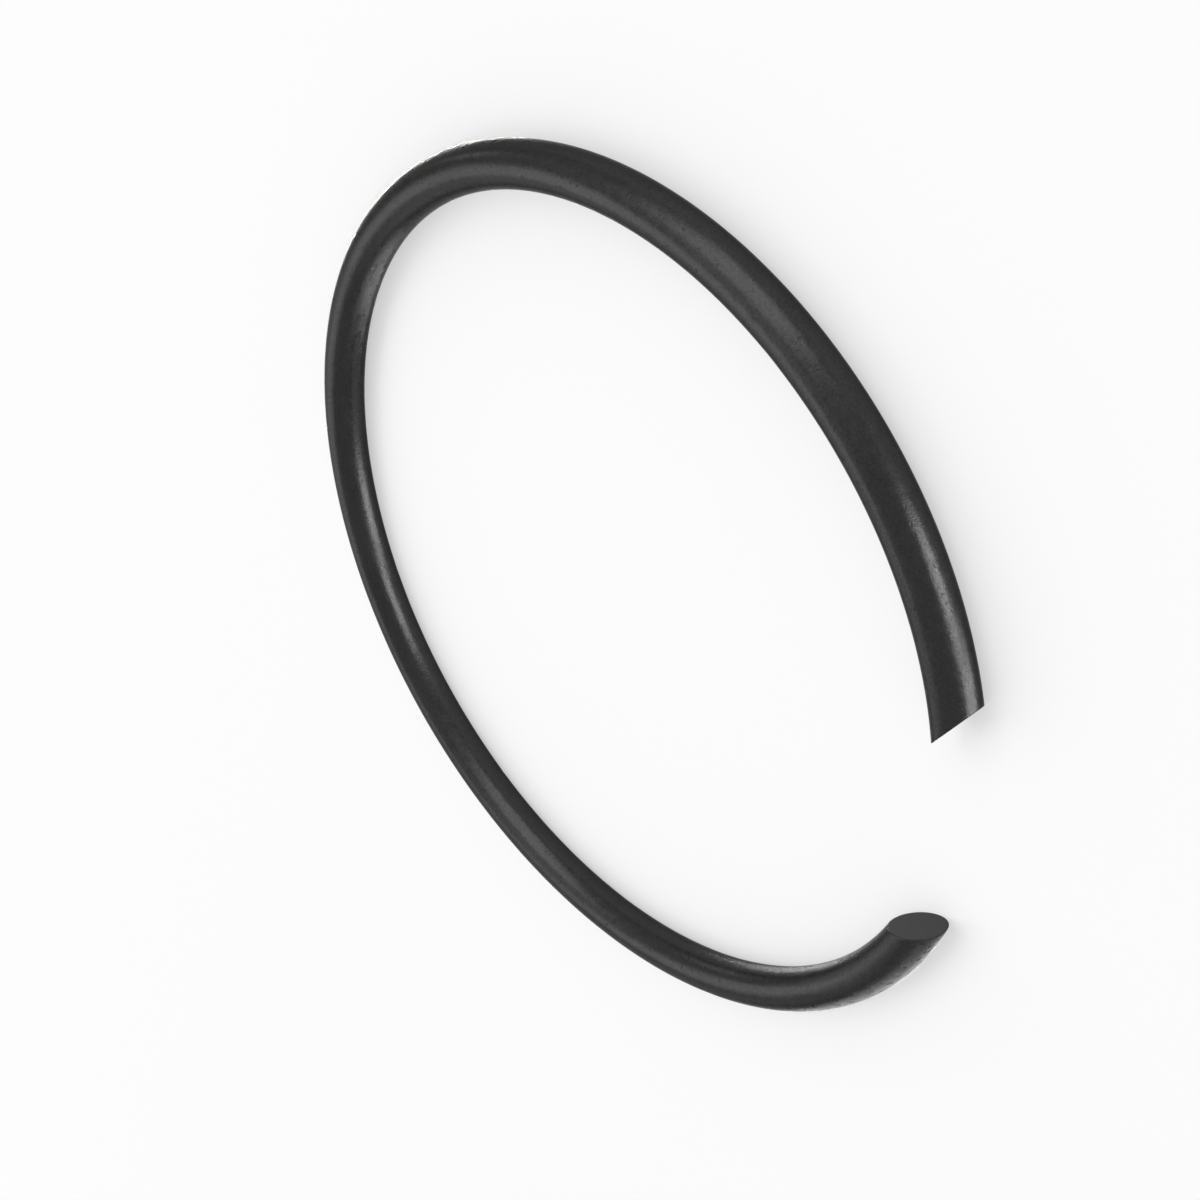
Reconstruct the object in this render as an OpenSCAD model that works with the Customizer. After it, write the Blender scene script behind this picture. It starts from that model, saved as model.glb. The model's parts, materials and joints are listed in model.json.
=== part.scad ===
// Round wire retaining ring with a gap and sheared, slanting ends.
// The ring lies flat with its centre at the origin, its axis along +Z and the middle of its gap on +X.
// All lengths are in millimetres, and the ring is modelled in its free state.

/* [Wire] */
// Diameter of the round wire
wire_d = 2; // [1:0.1:3]

/* [Ring] */
// Outer diameter of the free ring
free_outer_d = 41; // [30:0.5:60]
// Width of the gap, straight across from the middle of one wire end to the middle of the other
gap_w = 10.75; // [8:0.25:20]

/* [Sheared ends] */
// Slant of the cut on the +Y side of the gap, measured from a square cut
upper_cut_slant = 43; // [0:1:60]
// Slant of the cut on the -Y side of the gap, measured from a square cut
lower_cut_slant = 45; // [0:1:60]

/* [Hidden] */
$fn = 144;

// Radius of the circle that the wire's centre follows
centre_r = (free_outer_d - wire_d) / 2;
// Angle at the ring's centre from the middle of the gap to the middle of each wire end
half_gap_angle = asin(gap_w / 2 / centre_r);
// Distance that each cut runs past the wire's centre, inward and outward, so that it crosses the whole wire
cut_reach = wire_d;
// Point on +X where the two outer sides of the gap's outline meet, well clear of the ring
outline_tip = [2 * free_outer_d, 0];

// Point on the line of a slanting cut. The line crosses the wire's centre at end_angle, and out is how far
// the point lies outward from there, square to the wire. A slanting line turns counter-clockwise going outward.
function cut_point(end_angle, slant, out) =
    centre_r * [cos(end_angle), sin(end_angle)]
    + out / cos(slant) * [cos(end_angle + slant), sin(end_angle + slant)];

// Full circle of round wire, before the gap is cut out
module wire_circle() {
    rotate_extrude()
        translate([centre_r, 0])
            circle(d = wire_d);
}

// Upright prism that cuts out the gap. Two of its sides are the sheared faces of the wire ends.
module gap_prism() {
    linear_extrude(height = 2 * wire_d, center = true)
        polygon([
            cut_point(half_gap_angle, upper_cut_slant, -cut_reach),
            cut_point(half_gap_angle, upper_cut_slant, cut_reach),
            outline_tip,
            cut_point(-half_gap_angle, lower_cut_slant, cut_reach),
            cut_point(-half_gap_angle, lower_cut_slant, -cut_reach)
        ]);
}

// The ring: one piece of spring steel wire with a dark satin finish
module retaining_ring() {
    color("dimgray")
        difference() {
            wire_circle();
            gap_prism();
        }
}

retaining_ring();
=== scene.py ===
"""Looks of a round wire retaining ring: dark satin spring steel with two sheared, slanting ends.

The ring lies flat on a pale floor. Lengths are in metres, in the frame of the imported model, and angles are in
radians. The patterns on the metal count in millimetres, and the lamps' places are given in degrees.
"""

import json
import math

import bpy
import numpy as np
from mathutils import Matrix, Quaternion, Vector


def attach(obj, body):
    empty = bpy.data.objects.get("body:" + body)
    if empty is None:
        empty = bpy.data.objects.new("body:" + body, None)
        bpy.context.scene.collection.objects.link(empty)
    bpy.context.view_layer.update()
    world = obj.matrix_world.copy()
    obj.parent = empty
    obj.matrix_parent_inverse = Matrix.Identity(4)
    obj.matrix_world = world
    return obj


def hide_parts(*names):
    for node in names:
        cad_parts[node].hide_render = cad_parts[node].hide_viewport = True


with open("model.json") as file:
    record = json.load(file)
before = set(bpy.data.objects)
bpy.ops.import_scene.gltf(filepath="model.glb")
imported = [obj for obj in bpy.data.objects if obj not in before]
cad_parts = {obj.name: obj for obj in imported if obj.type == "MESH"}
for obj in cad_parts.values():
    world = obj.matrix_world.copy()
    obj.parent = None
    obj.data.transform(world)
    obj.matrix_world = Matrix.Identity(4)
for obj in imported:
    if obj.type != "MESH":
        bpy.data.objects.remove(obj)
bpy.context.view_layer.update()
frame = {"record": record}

NODE = "retaining_ring"
MM = 0.001

# The ring's driving sizes, as in the part's source
seat = next(mount for mount in frame["record"]["mounts"] if mount["name"] == "groove_seat")
WIRE_R = seat["dims"]["length_mm"] / 2 * MM
RING_R = seat["dims"]["r_mm"] * MM - WIRE_R
GAP_W = 10.75 * MM
UPPER_CUT_SLANT = math.radians(43)
LOWER_CUT_SLANT = math.radians(45)

# Angles round the ring at which the wire's centre line meets the two cuts
HALF_GAP_ANGLE = math.asin(GAP_W / 2 / RING_R)
UPPER_END = HALF_GAP_ANGLE
LOWER_END = 2 * math.pi - HALF_GAP_ANGLE

# Fineness of the surface: steps along the wire and round it, over each worn edge and over each sheared face
STATIONS = 980
FIBRES = 96
EDGE_STEPS = 4
FACE_STEPS = 10
# Radius of the worn edge round each sheared face
EDGE_R = 0.04 * MM

# Shallow handling marks, pressed into the wire, with their lengths as multiples of their widths
DENT_SEED = 11
DENT_COUNT = 150
DENT_WIDTH = (0.12 * MM, 0.45 * MM)
DENT_STRETCH = (1, 2.5)
DENT_DEPTH = (0.002 * MM, 0.008 * MM)
# Outer share of the wire's radius over which the marks fade in, so that the sheared faces stay flat
DENT_FADE = 0.1

# Holds each point's place on the straightened wire, for the patterns on the metal
PLACE_ATTRIBUTE = "wire_place"
# Share of the metal's bright grazing reflection that the dark oxide leaves
EDGE_TINT = 0.5
# Range that noise, and a mix of three noises, seldom leave
NOISE_RANGE = (0.3, 0.7)
MIXED_RANGE = (0.36, 0.64)

# The side of the wire: its greys and roughness, and the heights of its relief in millimetres
WIRE_GREY = (0.034, 0.045)
WIRE_ROUGHNESS = (0.26, 0.33)
MOTTLE_HEIGHT = 0.009
GRAIN_HEIGHT = 0.004
LINE_HEIGHT = 0.002

# The sheared faces: their greys, roughness and height of relief
FACE_GREY = (0.048, 0.060)
FACE_ROUGHNESS = (0.45, 0.6)
FACE_RELIEF = 0.004 * MM

# Nicks, at most one to a cell: cells to the millimetre, and the share of cells that have none
NICK_CELLS = 3.1
NICK_FREE_SHARE = 0.15
# A nick's flat middle and its rim, in cells from the middle of its cell
NICK_MIDDLE = 0.1
NICK_RIM = 0.28
# The noise that bends a nick's outline: its reach in millimetres and its features to the millimetre
NICK_BEND = 0.3
NICK_BEND_SCALE = 7.0
# The share of grey left in a nick, its added roughness, and its height in millimetres
NICK_SHADE = 0.7
NICK_ROUGHNESS = 0.12
NICK_HEIGHT = -0.006

# The camera of the photograph
PHOTO_FIELD_OF_VIEW = math.radians(40)
CAMERA_PLACE = Vector((42.292, 44.879, 39.551)) * MM
CAMERA_AIM = Vector((-0.206, 0.037, 0.0)) * MM
CAMERA_ROLL = math.radians(118.643)
CAMERA_NEAREST = 1 * MM

# Light and floor
WORLD_LIGHT = 0.7
LAMP_DISTANCE = 1.0
FLOOR_SIZE = 6.0
FLOOR_GREY = 0.85
FLOOR_ROUGHNESS = 0.9
# Share of plain white in what the floor shows, which keeps the shadow light
FLOOR_WHITE_SHARE = 0.5


def grey(level):
    return (level, level, level, 1.0)


def smooth_step(x):
    x = np.clip(x, 0, 1)
    return x * x * (3 - 2 * x)


def cut_angle(end_angle, slant, radius):
    """Angle at which a slanting cut crosses the circle of that radius about the ring's axis."""
    return end_angle + slant - np.arcsin(RING_R * math.sin(slant) / radius)


def wire_points(angle, around, wire_r):
    """Points at an angle round the ring, and an angle round the wire from its outermost line."""
    radius = RING_R + wire_r * np.cos(around)
    return np.stack([radius * np.cos(angle), radius * np.sin(angle), wire_r * np.sin(around)], axis=-1)


def straight_places(angle, around, wire_r):
    """The same points on the straightened wire: along it, outwards and up."""
    return np.stack([angle * RING_R, wire_r * np.cos(around), wire_r * np.sin(around)], axis=-1)


def dent_depth(angle, around):
    """How deep the handling marks are at each point of the wire."""
    draw = np.random.default_rng(DENT_SEED)
    along, across = angle * RING_R, around * WIRE_R
    turn = 2 * math.pi * WIRE_R
    depth = np.zeros_like(along)
    for _ in range(DENT_COUNT):
        middle = draw.uniform(UPPER_END, LOWER_END) * RING_R
        side = draw.uniform(0, 2 * math.pi) * WIRE_R
        width = draw.uniform(*DENT_WIDTH)
        length = width * draw.uniform(*DENT_STRETCH)
        deepest = draw.uniform(*DENT_DEPTH)
        off = (across - side + turn / 2) % turn - turn / 2
        distance = ((along - middle) / length) ** 2 + (off / width) ** 2
        depth += deepest * np.exp(-distance)
    return depth


def end_rows(end_angle, slant, inward, around):
    """Rows of points from the side of the wire, over the worn edge, to near the middle of a sheared face.

    Each row holds angles about the ring's axis and a wire radius. inward is +1 where the wire lies towards
    larger angles, and -1 where it lies towards smaller ones.
    """
    rows = []
    for step in range(EDGE_STEPS + 1):
        bend = math.pi / 2 * step / EDGE_STEPS
        wire_r = WIRE_R - EDGE_R * (1 - math.cos(bend))
        from_cut = EDGE_R * (1 - math.sin(bend))
        radius = RING_R + wire_r * np.cos(around)
        rows.append((cut_angle(end_angle, slant, radius) + inward * from_cut / radius, wire_r))
    for step in range(1, FACE_STEPS):
        wire_r = (WIRE_R - EDGE_R) * (1 - step / FACE_STEPS)
        rows.append((cut_angle(end_angle, slant, RING_R + wire_r * np.cos(around)), wire_r))
    return rows


def wire_rows(around):
    """Angles and wire radii of the rows of points, from one sheared face along the wire to the other."""
    upper = end_rows(UPPER_END, UPPER_CUT_SLANT, 1, around)
    lower = end_rows(LOWER_END, LOWER_CUT_SLANT, -1, around)
    first, last = upper[0][0], lower[0][0]
    rows = upper[::-1]
    for station in range(1, STATIONS):
        rows.append((first + (last - first) * station / STATIONS, WIRE_R))
    rows += lower
    angles = np.array([angle for angle, _ in rows])
    radii = np.array([np.full(FIBRES, wire_r) for _, wire_r in rows])
    return angles, radii


def wire_surface():
    """Points of all rows, with the handling marks, and their places on the straightened wire."""
    around = np.linspace(0, 2 * math.pi, FIBRES, endpoint=False)
    angles, radii = wire_rows(around)
    arounds = np.broadcast_to(around, angles.shape)
    side_share = smooth_step((radii / WIRE_R - (1 - DENT_FADE)) / DENT_FADE)
    radii = radii - side_share * dent_depth(angles, arounds)
    points = wire_points(angles, arounds, radii)
    places = straight_places(angles, arounds, radii)
    return points.reshape(-1, 3), places.reshape(-1, 3)


def face_middles():
    """The middle points of the two sheared faces, and their places on the straightened wire."""
    ends, centre = np.array([UPPER_END, LOWER_END]), np.zeros(2)
    return wire_points(ends, centre, centre), straight_places(ends, centre, centre)


def wire_faces(row_count):
    """Quads between the rows and then triangles to the two middles, all as point numbers."""
    faces = []
    for row in range(row_count - 1):
        here, ahead = row * FIBRES, (row + 1) * FIBRES
        for fibre in range(FIBRES):
            beside = (fibre + 1) % FIBRES
            faces.append((here + fibre, ahead + fibre, ahead + beside, here + beside))
    upper_middle, lower_middle = row_count * FIBRES, row_count * FIBRES + 1
    last_row = (row_count - 1) * FIBRES
    for fibre in range(FIBRES):
        beside = (fibre + 1) % FIBRES
        faces.append((upper_middle, fibre, beside))
        faces.append((lower_middle, last_row + beside, last_row + fibre))
    return faces


def mark_sheared_faces(mesh):
    """Gives the two sheared faces the second material."""
    quads_per_face = FIBRES * (FACE_STEPS - 1)
    side_quads = FIBRES * (2 * EDGE_STEPS + STATIONS)
    material = np.zeros(len(mesh.polygons), np.int32)
    material[:quads_per_face] = 1
    material[quads_per_face + side_quads:] = 1
    mesh.polygons.foreach_set("material_index", material)


def ring_mesh():
    """The whole wire as one closed mesh, in which each point knows its place on the straightened wire."""
    points, places = wire_surface()
    middles, middle_places = face_middles()
    mesh = bpy.data.meshes.new("ring_wire")
    mesh.from_pydata(np.vstack([points, middles]).tolist(), [], wire_faces(len(points) // FIBRES))
    mesh.shade_smooth()
    attribute = mesh.attributes.new(PLACE_ATTRIBUTE, "FLOAT_VECTOR", "POINT")
    places_in_mm = np.vstack([places, middle_places]) / MM
    attribute.data.foreach_set("vector", places_in_mm.astype(np.float32).ravel())
    mark_sheared_faces(mesh)
    return mesh


def new_material(name):
    material = bpy.data.materials.new(name)
    material.use_nodes = True
    tree = material.node_tree
    return material, tree, tree.nodes["Principled BSDF"]


def node(tree, kind, inputs=None, **settings):
    """A new shader node with its settings, and its inputs set to values or linked to sockets."""
    made = tree.nodes.new("ShaderNode" + kind)
    for name, value in settings.items():
        setattr(made, name, value)
    for name, value in (inputs or {}).items():
        if isinstance(value, bpy.types.NodeSocket):
            tree.links.new(value, made.inputs[name])
        else:
            made.inputs[name].default_value = value
    return made


def maths(tree, operation, first, second):
    return node(tree, "Math", {0: first, 1: second}, operation=operation).outputs[0]


def weighted_sum(tree, *terms):
    """The sum of some values, each times its weight."""
    total = 0.0
    for value, weight in terms:
        total = maths(tree, "ADD", total, maths(tree, "MULTIPLY", value, weight))
    return total


def spread(tree, value, before, after):
    """Maps value from the range before to the range after, without leaving it."""
    inputs = {"Value": value}
    inputs["From Min"], inputs["From Max"] = before
    inputs["To Min"], inputs["To Max"] = after
    return node(tree, "MapRange", inputs).outputs["Result"]


def noise_field(tree, place, scale, detail, stretch=(1, 1, 1)):
    """Noise with about scale features to the millimetre. A stretch below 1 draws them out along that axis."""
    scaled = node(tree, "VectorMath", {0: place, 1: stretch}, operation="MULTIPLY").outputs[0]
    return node(tree, "TexNoise", {"Vector": scaled, "Scale": scale, "Detail": detail}).outputs["Fac"]


def nicks(tree, place):
    """0 on plain wire and up to 1 in small nicks of uneven shape and depth."""
    noise = node(tree, "TexNoise", {"Vector": place, "Scale": NICK_BEND_SCALE, "Detail": 1.0})
    bend = {0: noise.outputs["Color"], 1: (NICK_BEND, NICK_BEND, NICK_BEND), 2: place}
    bent = node(tree, "VectorMath", bend, operation="MULTIPLY_ADD").outputs[0]
    cells = node(tree, "TexVoronoi", {"Vector": bent, "Scale": NICK_CELLS, "Randomness": 1.0})
    near = spread(tree, cells.outputs["Distance"], (NICK_MIDDLE, NICK_RIM), (1.0, 0.0))
    chance = node(tree, "SeparateColor", {"Color": cells.outputs["Color"]}).outputs["Red"]
    return maths(tree, "MULTIPLY", near, spread(tree, chance, (NICK_FREE_SHARE, 1.0), (0.0, 1.0)))


def new_metal(name):
    """A material of dark oxide on metal, and the place on the straightened wire in millimetres."""
    material, tree, shader = new_material(name)
    shader.inputs["Metallic"].default_value = 1.0
    shader.inputs["Specular Tint"].default_value = grey(EDGE_TINT)
    place = node(tree, "Attribute", attribute_name=PLACE_ATTRIBUTE).outputs["Vector"]
    return material, tree, place


def lay_on_metal(tree, level, rough, height, height_unit):
    """Gives the metal its grey, its roughness and its relief, whose height counts in height_unit."""
    colour = node(tree, "CombineColor", {0: level, 1: level, 2: level})
    bump = node(tree, "Bump", {"Strength": 1.0, "Distance": height_unit, "Height": height})
    shader = tree.nodes["Principled BSDF"]
    tree.links.new(colour.outputs[0], shader.inputs["Base Color"])
    tree.links.new(rough, shader.inputs["Roughness"])
    tree.links.new(bump.outputs["Normal"], shader.inputs["Normal"])


def spring_steel():
    """Dark satin oxide on drawn wire: mottled, with fine grain, faint drawing lines and tiny nicks."""
    material, tree, place = new_metal("spring_steel")
    clouds = noise_field(tree, place, scale=0.45, detail=3.0, stretch=(0.6, 1, 1))
    mottle = noise_field(tree, place, scale=3.0, detail=1.0, stretch=(0.7, 1, 1))
    grain = noise_field(tree, place, scale=10.0, detail=1.0)
    lines = noise_field(tree, place, scale=8.0, detail=1.0, stretch=(0.05, 1, 1))
    nick = nicks(tree, place)

    mixed = weighted_sum(tree, (clouds, 0.25), (mottle, 0.15), (grain, 0.6))
    level = spread(tree, mixed, MIXED_RANGE, WIRE_GREY)
    level = maths(tree, "MULTIPLY", level, spread(tree, nick, (0, 1), (1.0, NICK_SHADE)))
    rough = spread(tree, mottle, NOISE_RANGE, WIRE_ROUGHNESS)
    rough = weighted_sum(tree, (rough, 1.0), (nick, NICK_ROUGHNESS))
    relief = ((mottle, MOTTLE_HEIGHT), (grain, GRAIN_HEIGHT), (lines, LINE_HEIGHT), (nick, NICK_HEIGHT))
    lay_on_metal(tree, level, rough, weighted_sum(tree, *relief), height_unit=MM)
    return material


def sheared_steel():
    """The sheared faces: rougher than the wire and nearly matt, with the fine upright lines of a shear."""
    material, tree, place = new_metal("sheared_steel")
    lines = noise_field(tree, place, scale=10.0, detail=3.0, stretch=(1, 1, 0.1))
    grain = noise_field(tree, place, scale=18.0, detail=2.0)
    level = spread(tree, grain, NOISE_RANGE, FACE_GREY)
    rough = spread(tree, grain, NOISE_RANGE, FACE_ROUGHNESS)
    height = weighted_sum(tree, (lines, 0.5), (grain, 0.3))
    lay_on_metal(tree, level, rough, height, height_unit=FACE_RELIEF)
    return material


def make_ring():
    """The ring itself, which stands for the CAD solid."""
    mesh = ring_mesh()
    mesh.materials.append(spring_steel())
    mesh.materials.append(sheared_steel())
    ring = bpy.data.objects.new("ring_wire", mesh)
    bpy.context.scene.collection.objects.link(ring)
    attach(ring, "root")
    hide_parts(NODE)


def seen_share(tree):
    """1 for a ray from the camera, a glossy surface or a clear one, and 0 for the light on matt surfaces."""
    path = node(tree, "LightPath")
    seen = maths(tree, "MAXIMUM", path.outputs["Is Camera Ray"], path.outputs["Is Glossy Ray"])
    return maths(tree, "MAXIMUM", seen, path.outputs["Is Transmission Ray"])


def pale_floor():
    """Matt and pale. What is seen or mirrored of it has plain white mixed in, so that its shadow is light."""
    material, tree, shader = new_material("pale_floor")
    shader.inputs["Base Color"].default_value = grey(FLOOR_GREY)
    shader.inputs["Roughness"].default_value = FLOOR_ROUGHNESS
    shader.inputs["Specular IOR Level"].default_value = 0.0
    white = node(tree, "Emission", {"Color": grey(1.0), "Strength": 1.0})
    share = spread(tree, seen_share(tree), (0, 1), (0.0, FLOOR_WHITE_SHARE))
    both = node(tree, "MixShader", {0: share, 1: shader.outputs[0], 2: white.outputs[0]})
    tree.links.new(both.outputs[0], tree.nodes["Material Output"].inputs["Surface"])
    return material


def make_floor():
    """A plain pale floor under the ring."""
    mesh = bpy.data.meshes.new("floor")
    half = FLOOR_SIZE / 2
    corners = [(x * half, y * half, -WIRE_R) for x, y in ((-1, -1), (1, -1), (1, 1), (-1, 1))]
    mesh.from_pydata(corners, [], [(0, 1, 2, 3)])
    mesh.materials.append(pale_floor())
    floor = bpy.data.objects.new("floor", mesh)
    bpy.context.scene.collection.objects.link(floor)


def make_world():
    """An even pale surround, which lights the ring and the floor softly."""
    world = bpy.data.worlds.new("studio")
    bpy.context.scene.world = world
    world.use_nodes = True
    tree = world.node_tree
    tree.nodes.clear()
    background = node(tree, "Background", {"Color": grey(1.0), "Strength": WORLD_LIGHT})
    output = node(tree, "OutputWorld")
    tree.links.new(background.outputs[0], output.inputs["Surface"])


def direction(azimuth, elevation):
    """A vector of length 1 from the ring towards that azimuth and elevation."""
    level = math.cos(elevation)
    return Vector((level * math.cos(azimuth), level * math.sin(azimuth), math.sin(elevation)))


def softbox(name, place, size, brightness, lean=0):
    """A soft lamp that faces the ring.

    place is its azimuth and elevation, and lean its turn about the line to the ring, all in degrees. size is
    its width and height. brightness is what a mirror shows, where 1 is white.
    """
    width, height = size
    light = bpy.data.lights.new(name, "AREA")
    light.shape = "RECTANGLE"
    light.size = width
    light.size_y = height
    light.energy = brightness * math.pi * width * height
    lamp = bpy.data.objects.new(name, light)
    bpy.context.scene.collection.objects.link(lamp)
    towards = direction(math.radians(place[0]), math.radians(place[1]))
    lamp.location = towards * LAMP_DISTANCE
    lamp.rotation_mode = "QUATERNION"
    turn = Quaternion((0, 0, 1), math.radians(lean))
    lamp.rotation_quaternion = (-towards).to_track_quat("-Z", "Y") @ turn
    lamp.visible_camera = False
    return lamp


def light_ring_only(lamp):
    """Lets the lamp light the ring past the floor, and nothing else."""
    group = bpy.data.collections.get("ring_only")
    if group is None:
        group = bpy.data.collections.new("ring_only")
        group.objects.link(bpy.data.objects["ring_wire"])
    lamp.light_linking.receiver_collection = group
    lamp.light_linking.blocker_collection = group
    # This setting counts on reflected rays, and the floor would stop those on their way to the lamp
    lamp.data.cycles.use_multiple_importance_sampling = False


def make_lamps():
    """Soft lamps where the photograph's highlights come from.

    The photographed ring isn't lying on anything, and some of its highlights come from below. The lamps for
    those light the ring alone, because the floor would hide them.
    """
    softbox("back_softbox", place=(-151, 43), size=(0.56, 0.62), brightness=1.75, lean=-27)
    softbox("back_fill", place=(-134, 17), size=(1.03, 0.46), brightness=0.9)
    softbox("top_softbox", place=(97, 35), size=(0.62, 1.12), brightness=2.1, lean=-29)
    softbox("small_softbox", place=(168, 15), size=(0.22, 0.16), brightness=2.2)
    softbox("high_fill", place=(150, 65), size=(0.41, 0.61), brightness=0.75, lean=-45)
    light_ring_only(softbox("front_strip", place=(18, -2), size=(0.42, 0.60), brightness=6.6, lean=-2))
    light_ring_only(softbox("under_strip", place=(-12, -17), size=(0.42, 0.72), brightness=6.3, lean=-6))
    light_ring_only(softbox("side_strip", place=(-88, -14), size=(0.42, 0.93), brightness=4.0, lean=-11))
    light_ring_only(softbox("under_back", place=(-161, -28), size=(0.53, 0.34), brightness=6.9, lean=9))


def make_camera():
    """The photograph's camera, which looks down on the ring with its top leaning far to one side."""
    data = bpy.data.cameras.new("camera")
    data.lens = data.sensor_width / 2 / math.tan(PHOTO_FIELD_OF_VIEW / 2)
    data.clip_start = CAMERA_NEAREST
    camera = bpy.data.objects.new("camera", data)
    bpy.context.scene.collection.objects.link(camera)
    forward = (CAMERA_AIM - CAMERA_PLACE).normalized()
    level_right = forward.cross(Vector((0, 0, 1))).normalized()
    level_up = level_right.cross(forward)
    up = math.cos(CAMERA_ROLL) * level_up + math.sin(CAMERA_ROLL) * level_right
    right = forward.cross(up)
    turn = Matrix((right, up, -forward)).transposed().to_4x4()
    camera.matrix_world = Matrix.Translation(CAMERA_PLACE) @ turn
    bpy.context.scene.camera = camera


make_camera()
make_ring()
make_floor()
make_world()
make_lamps()
bpy.context.scene.view_settings.view_transform = "Standard"
